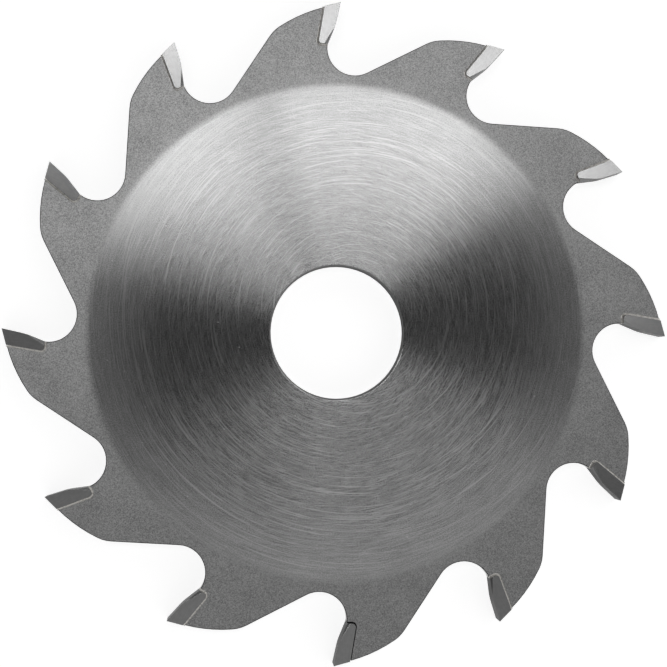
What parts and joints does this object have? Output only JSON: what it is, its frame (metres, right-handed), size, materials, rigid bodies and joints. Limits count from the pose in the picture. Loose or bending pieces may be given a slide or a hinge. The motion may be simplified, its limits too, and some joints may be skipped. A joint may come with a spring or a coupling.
{
  "type": "grooving saw blade",
  "caption": "Flat round saw blade for cutting grooves: a steel disc with a plain bore and hooked teeth, each with a wide carbide tip brazed into its front.",
  "frame": {"origin": "centre of the bore, halfway through the disc's thickness", "axes": "+Z along the bore, out of the face towards which the teeth cut clockwise as seen; +Y through the cutting edge of a tooth"},
  "size_m": [0.15, 0.15, 0.006],
  "materials": {
    "saw_steel": "brushed in circles round the bore, blasted matt round the teeth",
    "carbide": "ground",
    "silver_solder": "satin"
  },
  "bodies": {
    "root": {"saw_body": "saw_steel", "carbide_tip_01": "carbide", "carbide_tip_02": "carbide", "carbide_tip_03": "carbide", "carbide_tip_04": "carbide", "carbide_tip_05": "carbide", "carbide_tip_06": "carbide", "carbide_tip_07": "carbide", "carbide_tip_08": "carbide", "carbide_tip_09": "carbide", "carbide_tip_10": "carbide", "carbide_tip_11": "carbide", "carbide_tip_12": "carbide", "braze_seam_01": "silver_solder", "braze_seam_02": "silver_solder", "braze_seam_03": "silver_solder", "braze_seam_04": "silver_solder", "braze_seam_05": "silver_solder", "braze_seam_06": "silver_solder", "braze_seam_07": "silver_solder", "braze_seam_08": "silver_solder", "braze_seam_09": "silver_solder", "braze_seam_10": "silver_solder", "braze_seam_11": "silver_solder", "braze_seam_12": "silver_solder"}
  },
  "joints": []
}
